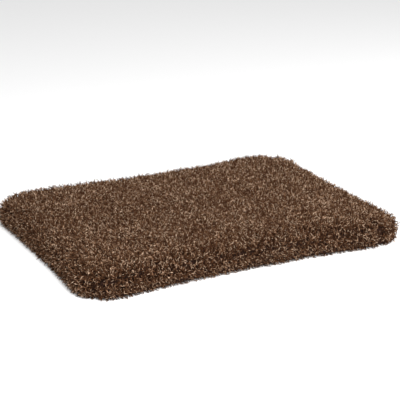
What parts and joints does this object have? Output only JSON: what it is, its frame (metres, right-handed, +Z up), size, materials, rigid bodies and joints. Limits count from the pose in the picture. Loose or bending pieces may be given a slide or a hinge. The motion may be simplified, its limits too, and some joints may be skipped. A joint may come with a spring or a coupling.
{
  "type": "pet cushion bed",
  "caption": "Low rectangular pet bed: a crowned fibre-filled cushion in a curly shag pile cover with darted, rounded corners and a flat woven base.",
  "frame": {"origin": "middle of the bed's footprint, on the floor it rests on", "axes": "+X along the long side, towards the right end as seen from the front; +Y towards the back side, where the label is; +Z up"},
  "size_m": [0.7598, 0.5742, 0.0764],
  "materials": {
    "pile_fibre": "twisted polyester shag pile, dark brown roots and taupe tips",
    "backing_knit": "matt warp knit",
    "polyester_fibre": "loose crimped staple fibre",
    "base_weave": "plain-weave polyester with a low sheen",
    "seam_thread": "overlocked polyester thread over cut cloth edges",
    "label_satin": "satin ribbon, blank"
  },
  "bodies": {
    "root": {"pile_layer": "pile_fibre", "backing_cloth": "backing_knit", "fibre_fill": "polyester_fibre", "base_panel": "base_weave", "perimeter_seam": "seam_thread", "closing_seam": "seam_thread", "corner_seam_front_left": "seam_thread", "corner_seam_front_right": "seam_thread", "corner_seam_back_left": "seam_thread", "corner_seam_back_right": "seam_thread", "care_label": "label_satin"}
  },
  "joints": []
}
